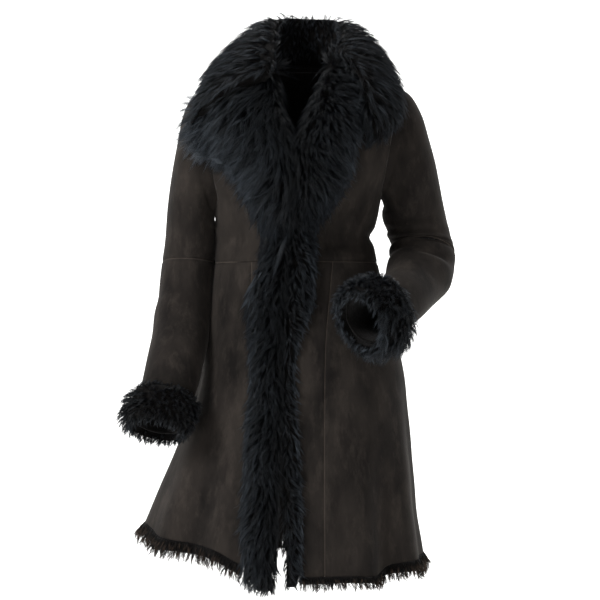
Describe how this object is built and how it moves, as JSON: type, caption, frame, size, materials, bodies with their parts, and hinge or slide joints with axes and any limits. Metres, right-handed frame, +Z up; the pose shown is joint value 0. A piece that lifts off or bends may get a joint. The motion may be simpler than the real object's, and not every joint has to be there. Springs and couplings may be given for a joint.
{
  "type": "shearling coat",
  "caption": "Knee-length flared shearling coat with long fur on collar, lapels, front edges, cuffs and hem, in its worn pose with one arm bent.",
  "frame": {"origin": "middle of the shoulders' bearing line inside the coat, between the armholes' tops, where the wearer's shoulders carry it", "axes": "+Z up, -Y the way the wearer faces, +X the wearer's left"},
  "size_m": [0.6559, 0.4832, 1.1292],
  "materials": {
    "suede": "matte brown-black suede with a mottled nap",
    "fur": "long glossy black sheep fur"
  },
  "bodies": {
    "root": {"bodice_front_right": "suede", "bodice_front_left": "suede", "bodice_back": "suede", "skirt_front_right": "suede", "skirt_front_left": "suede", "skirt_side_right": "suede", "skirt_side_left": "suede", "skirt_back_right": "suede", "skirt_back_left": "suede", "sleeve_upper_right": "suede", "sleeve_upper_left": "suede", "sleeve_lower_right": "suede", "sleeve_lower_left": "suede", "collar": "fur", "lapel_right": "fur", "lapel_left": "fur", "edging_right": "fur", "edging_left": "fur", "cuff_right": "fur", "cuff_left": "fur", "hem_fur_front_right": "fur", "hem_fur_front_left": "fur", "hem_fur_back_right": "fur", "hem_fur_back_left": "fur"}
  },
  "joints": []
}
